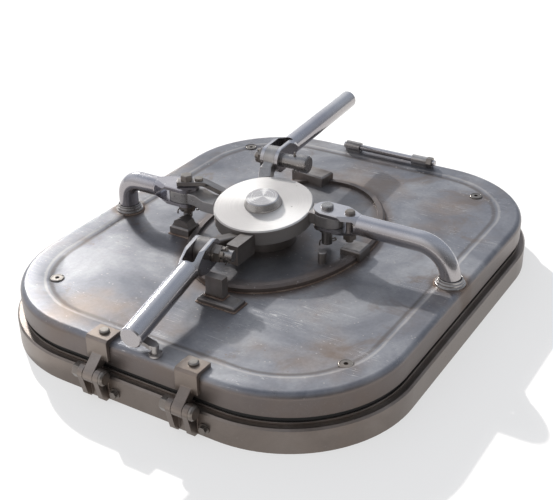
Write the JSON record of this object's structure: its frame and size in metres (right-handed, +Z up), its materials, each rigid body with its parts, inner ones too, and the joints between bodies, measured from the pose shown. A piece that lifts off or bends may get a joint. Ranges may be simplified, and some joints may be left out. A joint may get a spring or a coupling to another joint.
{
  "type": "tank manway cover",
  "caption": "Hinged rounded-rectangular manway cover on a welded neck ring, with a turning hub, two folding handles and two bent side cranks that swing dogs under the ring.",
  "frame": {"origin": "centre of the closed cover, in the plane of the neck ring's underside where it is welded to the tank", "axes": "+X along the hinge line, +Y from the hinge to the back, +Z up out of the tank"},
  "size_m": [0.5232, 0.651, 0.1571],
  "materials": {
    "cover": "satin",
    "ring": "satin",
    "bar": "polished",
    "hub": "turned",
    "bracket": "satin",
    "pin": "turned",
    "fastener": "polished",
    "rubber": "matte"
  },
  "bodies": {
    "neck": {"neck_wall": "ring", "neck_flange": "ring", "ring_lip": "ring", "hinge_ears": "bracket", "hinge_pins": "fastener", "hinge_nuts": "fastener", "ear_bolts": "fastener"},
    "cover": {"base_disc": "hub", "brace_frame": "bracket", "corner_nuts": "fastener", "corner_screws": "fastener", "cover_pan": "cover", "gasket": "rubber", "gasket_ledge": "bracket", "gland_nuts": "fastener", "glands": "bracket", "grab_bosses": "bracket", "grab_nut": "fastener", "grab_rail": "bracket", "hinge_straps": "bracket", "rest_blocks": "bracket", "rest_pillars": "bracket", "rest_post": "bracket", "screw_cups": "fastener", "strap_screws": "fastener"},
    "hub": {"hub_disc": "hub", "hub_button": "hub", "hub_drum": "bracket", "spindle_washer": "fastener", "spindle_nut": "fastener", "right_lug": "bracket", "left_lug": "bracket", "front_lug": "bracket", "back_lug": "bracket", "keeper_strap": "bracket", "keeper_screws": "fastener"},
    "right_crank": {"right_bar": "bar", "right_pin": "pin", "right_collar": "pin", "right_stop_bolt": "fastener", "right_stop_nut": "fastener", "right_dog": "bracket", "right_dog_nut": "fastener"},
    "left_crank": {"left_bar": "bar", "left_pin": "pin", "left_pin_nut": "fastener", "left_dog": "bracket", "left_dog_nut": "fastener"},
    "front_lever": {"front_handle": "bar", "front_pin": "pin", "front_washer": "fastener", "front_pin_nut": "fastener"},
    "back_lever": {"back_handle": "bar", "back_pin": "pin", "back_pin_nut": "fastener"}
  },
  "joints": [
    {"name": "lid_swing", "type": "hinge", "parent": "neck", "child": "cover", "pos_m": [0, -0.325, 0.034], "axis": [1, 0, 0], "range_deg": [0, 105]},
    {"name": "hub_turn", "type": "hinge", "parent": "cover", "child": "hub", "pos_m": [-0.018, -0.02, 0.07], "axis": [0, 0, 1], "range_deg": [-20, 0]},
    {"name": "right_crank_turn", "type": "hinge", "parent": "cover", "child": "right_crank", "pos_m": [0.233, -0.002, 0.07], "axis": [0, 0, 1], "range_deg": [0, 10.2]},
    {"name": "left_crank_turn", "type": "hinge", "parent": "cover", "child": "left_crank", "pos_m": [-0.227, -0.035, 0.07], "axis": [0, 0, 1], "range_deg": [0, 23.9]},
    {"name": "front_handle_lift", "type": "hinge", "parent": "hub", "child": "front_lever", "pos_m": [-0.022, -0.144, 0.111], "axis": [-0.9891, -0.147, 0], "range_deg": [0, 95]},
    {"name": "back_handle_lift", "type": "hinge", "parent": "hub", "child": "back_lever", "pos_m": [-0.058, 0.072, 0.14], "axis": [0.9973, 0.0736, 0], "range_deg": [0, 95]}
  ],
  "couplings": [
    {"joint": "right_crank_turn", "follows": "hub_turn", "ratio": -0.506},
    {"joint": "left_crank_turn", "follows": "hub_turn", "ratio": -1.19}
  ]
}
